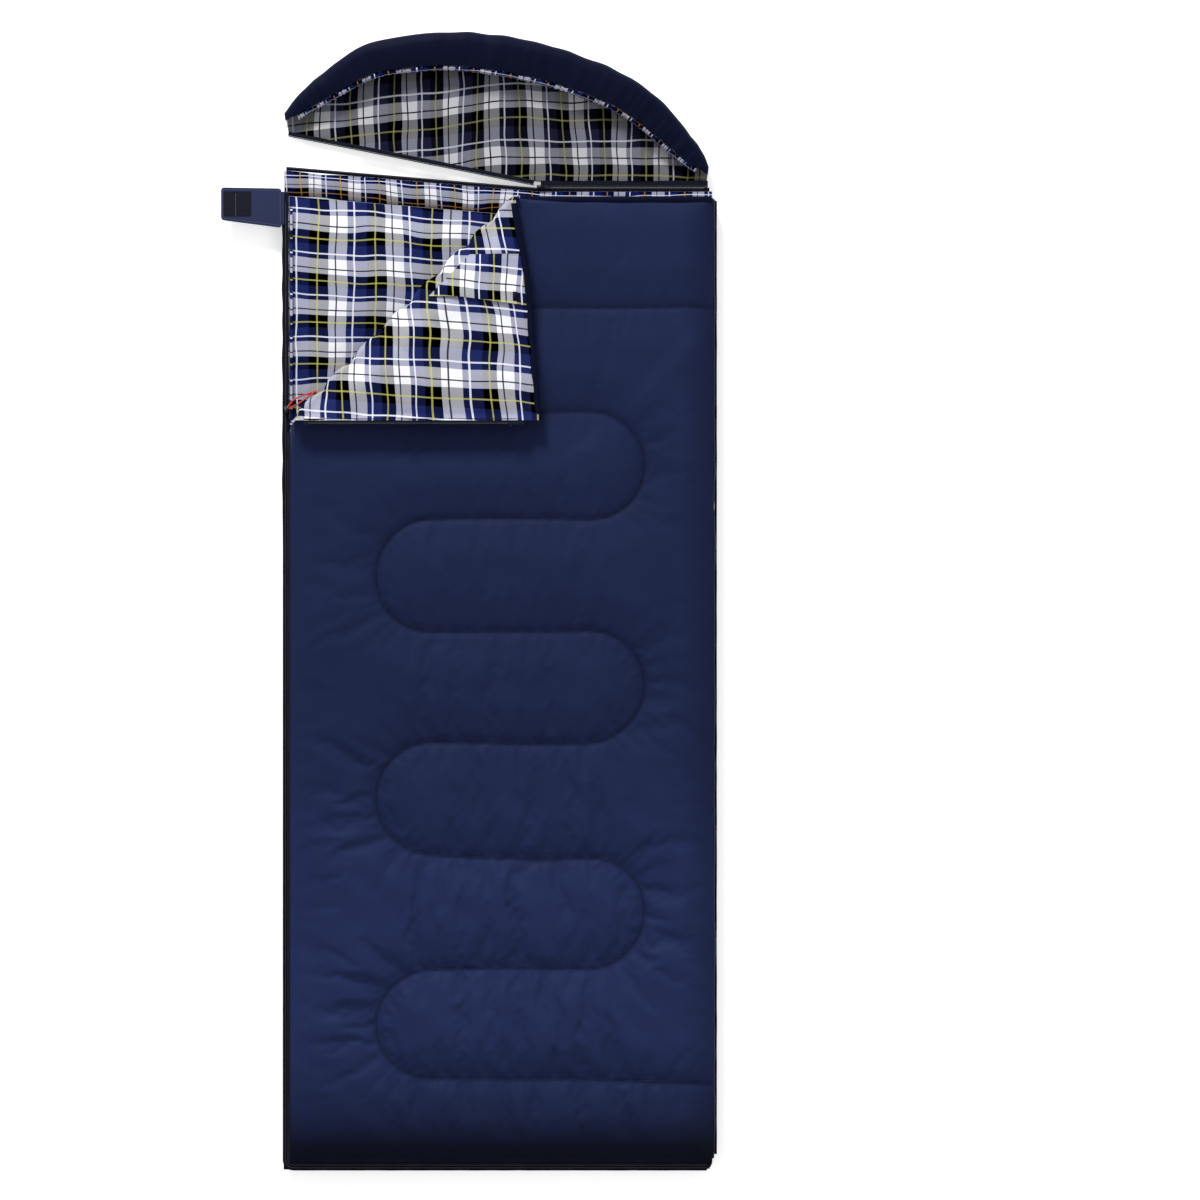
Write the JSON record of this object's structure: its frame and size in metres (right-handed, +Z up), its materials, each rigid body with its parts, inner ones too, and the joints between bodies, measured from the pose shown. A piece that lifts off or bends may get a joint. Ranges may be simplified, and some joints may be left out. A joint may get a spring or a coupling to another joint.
{
  "type": "rectangular sleeping bag",
  "caption": "Quilted rectangular sleeping bag with a zipped side and foot, a turned-back front corner, a tartan lining, a zip-on hood with a rolled edge and a closure tab.",
  "frame": {"origin": "the middle of the bag's body on its flat underside, at the floor", "axes": "+X to the bag's right as it lies with the hood up the page, +Y from the foot towards the hood, +Z up from the floor"},
  "size_m": [0.9587, 2.2038, 0.098],
  "materials": {
    "shell": "navy woven polyester with a slight sheen",
    "fill": "white hollow-fibre wadding",
    "lining": "brushed tartan flannel in white, blue, black and yellow",
    "tape": "black woven tape",
    "coil": "dark nylon coil",
    "metal": "black painted die-cast metal",
    "cord": "red twisted cord",
    "patch": "dark hook and loop tape"
  },
  "bodies": {
    "back_panel": {"back_shell": "shell", "back_fill": "fill", "back_lining": "lining", "neck_band_cover": "lining", "neck_band_fill": "fill", "back_zip_tape": "tape", "back_zip_coil": "coil", "back_top_stop": "metal", "foot_end_stop": "metal", "lining_side_roll": "lining", "side_piping": "tape", "neck_tape_lower": "tape", "neck_coil_lower": "coil", "neck_tape_upper": "tape", "neck_coil_upper": "coil", "neck_end_stop": "metal"},
    "front_panel": {"front_shell": "shell", "front_fill": "fill", "front_lining": "lining", "front_top_hem": "shell", "front_zip_tape": "tape", "front_zip_coil": "coil"},
    "corner_flap": {"flap_shell": "shell", "flap_fill": "fill", "flap_lining": "lining", "flap_top_hem": "shell", "flap_zip_tape": "tape", "flap_zip_coil": "coil", "flap_top_stop": "metal", "inner_pocket": "lining", "pocket_loop": "tape", "loop_patch": "patch"},
    "hood": {"hood_shell": "shell", "hood_fill": "fill", "hood_lining": "lining", "hood_channel": "lining", "hood_drawcord": "cord", "hood_tape": "tape", "hood_coil": "coil"},
    "closure_tab": {"closure_tab": "shell", "hook_patch": "patch"},
    "side_slider": {"side_slider": "metal"},
    "side_pull": {"side_pull": "metal", "pull_cord": "cord", "cord_knot": "cord"},
    "neck_slider": {"neck_slider": "metal"},
    "neck_pull": {"neck_pull": "metal"}
  },
  "joints": [
    {"name": "front_panel_fold", "type": "hinge", "parent": "back_panel", "child": "front_panel", "pos_m": [0.4165, 0, 0.031], "axis": [0, 1, 0], "range_deg": [0, 174]},
    {"name": "corner_flap_fold", "type": "hinge", "parent": "front_panel", "child": "corner_flap", "pos_m": [-0.4525, 0.4525, 0.0635], "axis": [-0.7071, -0.7071, 0], "range_deg": [0, 179.8], "deforming": ["pull_cord", "cord_knot"]},
    {"name": "hood_fold", "type": "hinge", "parent": "back_panel", "child": "hood", "pos_m": [0, 0.9665, 0.0195], "axis": [1, 0, 0], "range_deg": [0, 100]},
    {"name": "closure_tab_fold", "type": "hinge", "parent": "back_panel", "child": "closure_tab", "pos_m": [-0.4235, 0.914, 0.0495], "axis": [0, 1, 0], "range_deg": [0, 179.8]},
    {"name": "side_zip_slide", "type": "slide", "parent": "back_panel", "child": "side_slider", "axis": [0, 1, 0], "range_m": [-1.4, 0.385]},
    {"name": "side_pull_swing", "type": "hinge", "parent": "side_slider", "child": "side_pull", "pos_m": [-0.4128, 0.523, 0.0381], "axis": [0, -1, 0], "range_deg": [0, 150]},
    {"name": "neck_zip_slide", "type": "slide", "parent": "back_panel", "child": "neck_slider", "axis": [1, 0, 0], "range_m": [0, 0.305]},
    {"name": "neck_pull_swing", "type": "hinge", "parent": "neck_slider", "child": "neck_pull", "pos_m": [0.078, 0.9555, 0.0239], "axis": [0, -1, 0], "range_deg": [0, 180]}
  ]
}
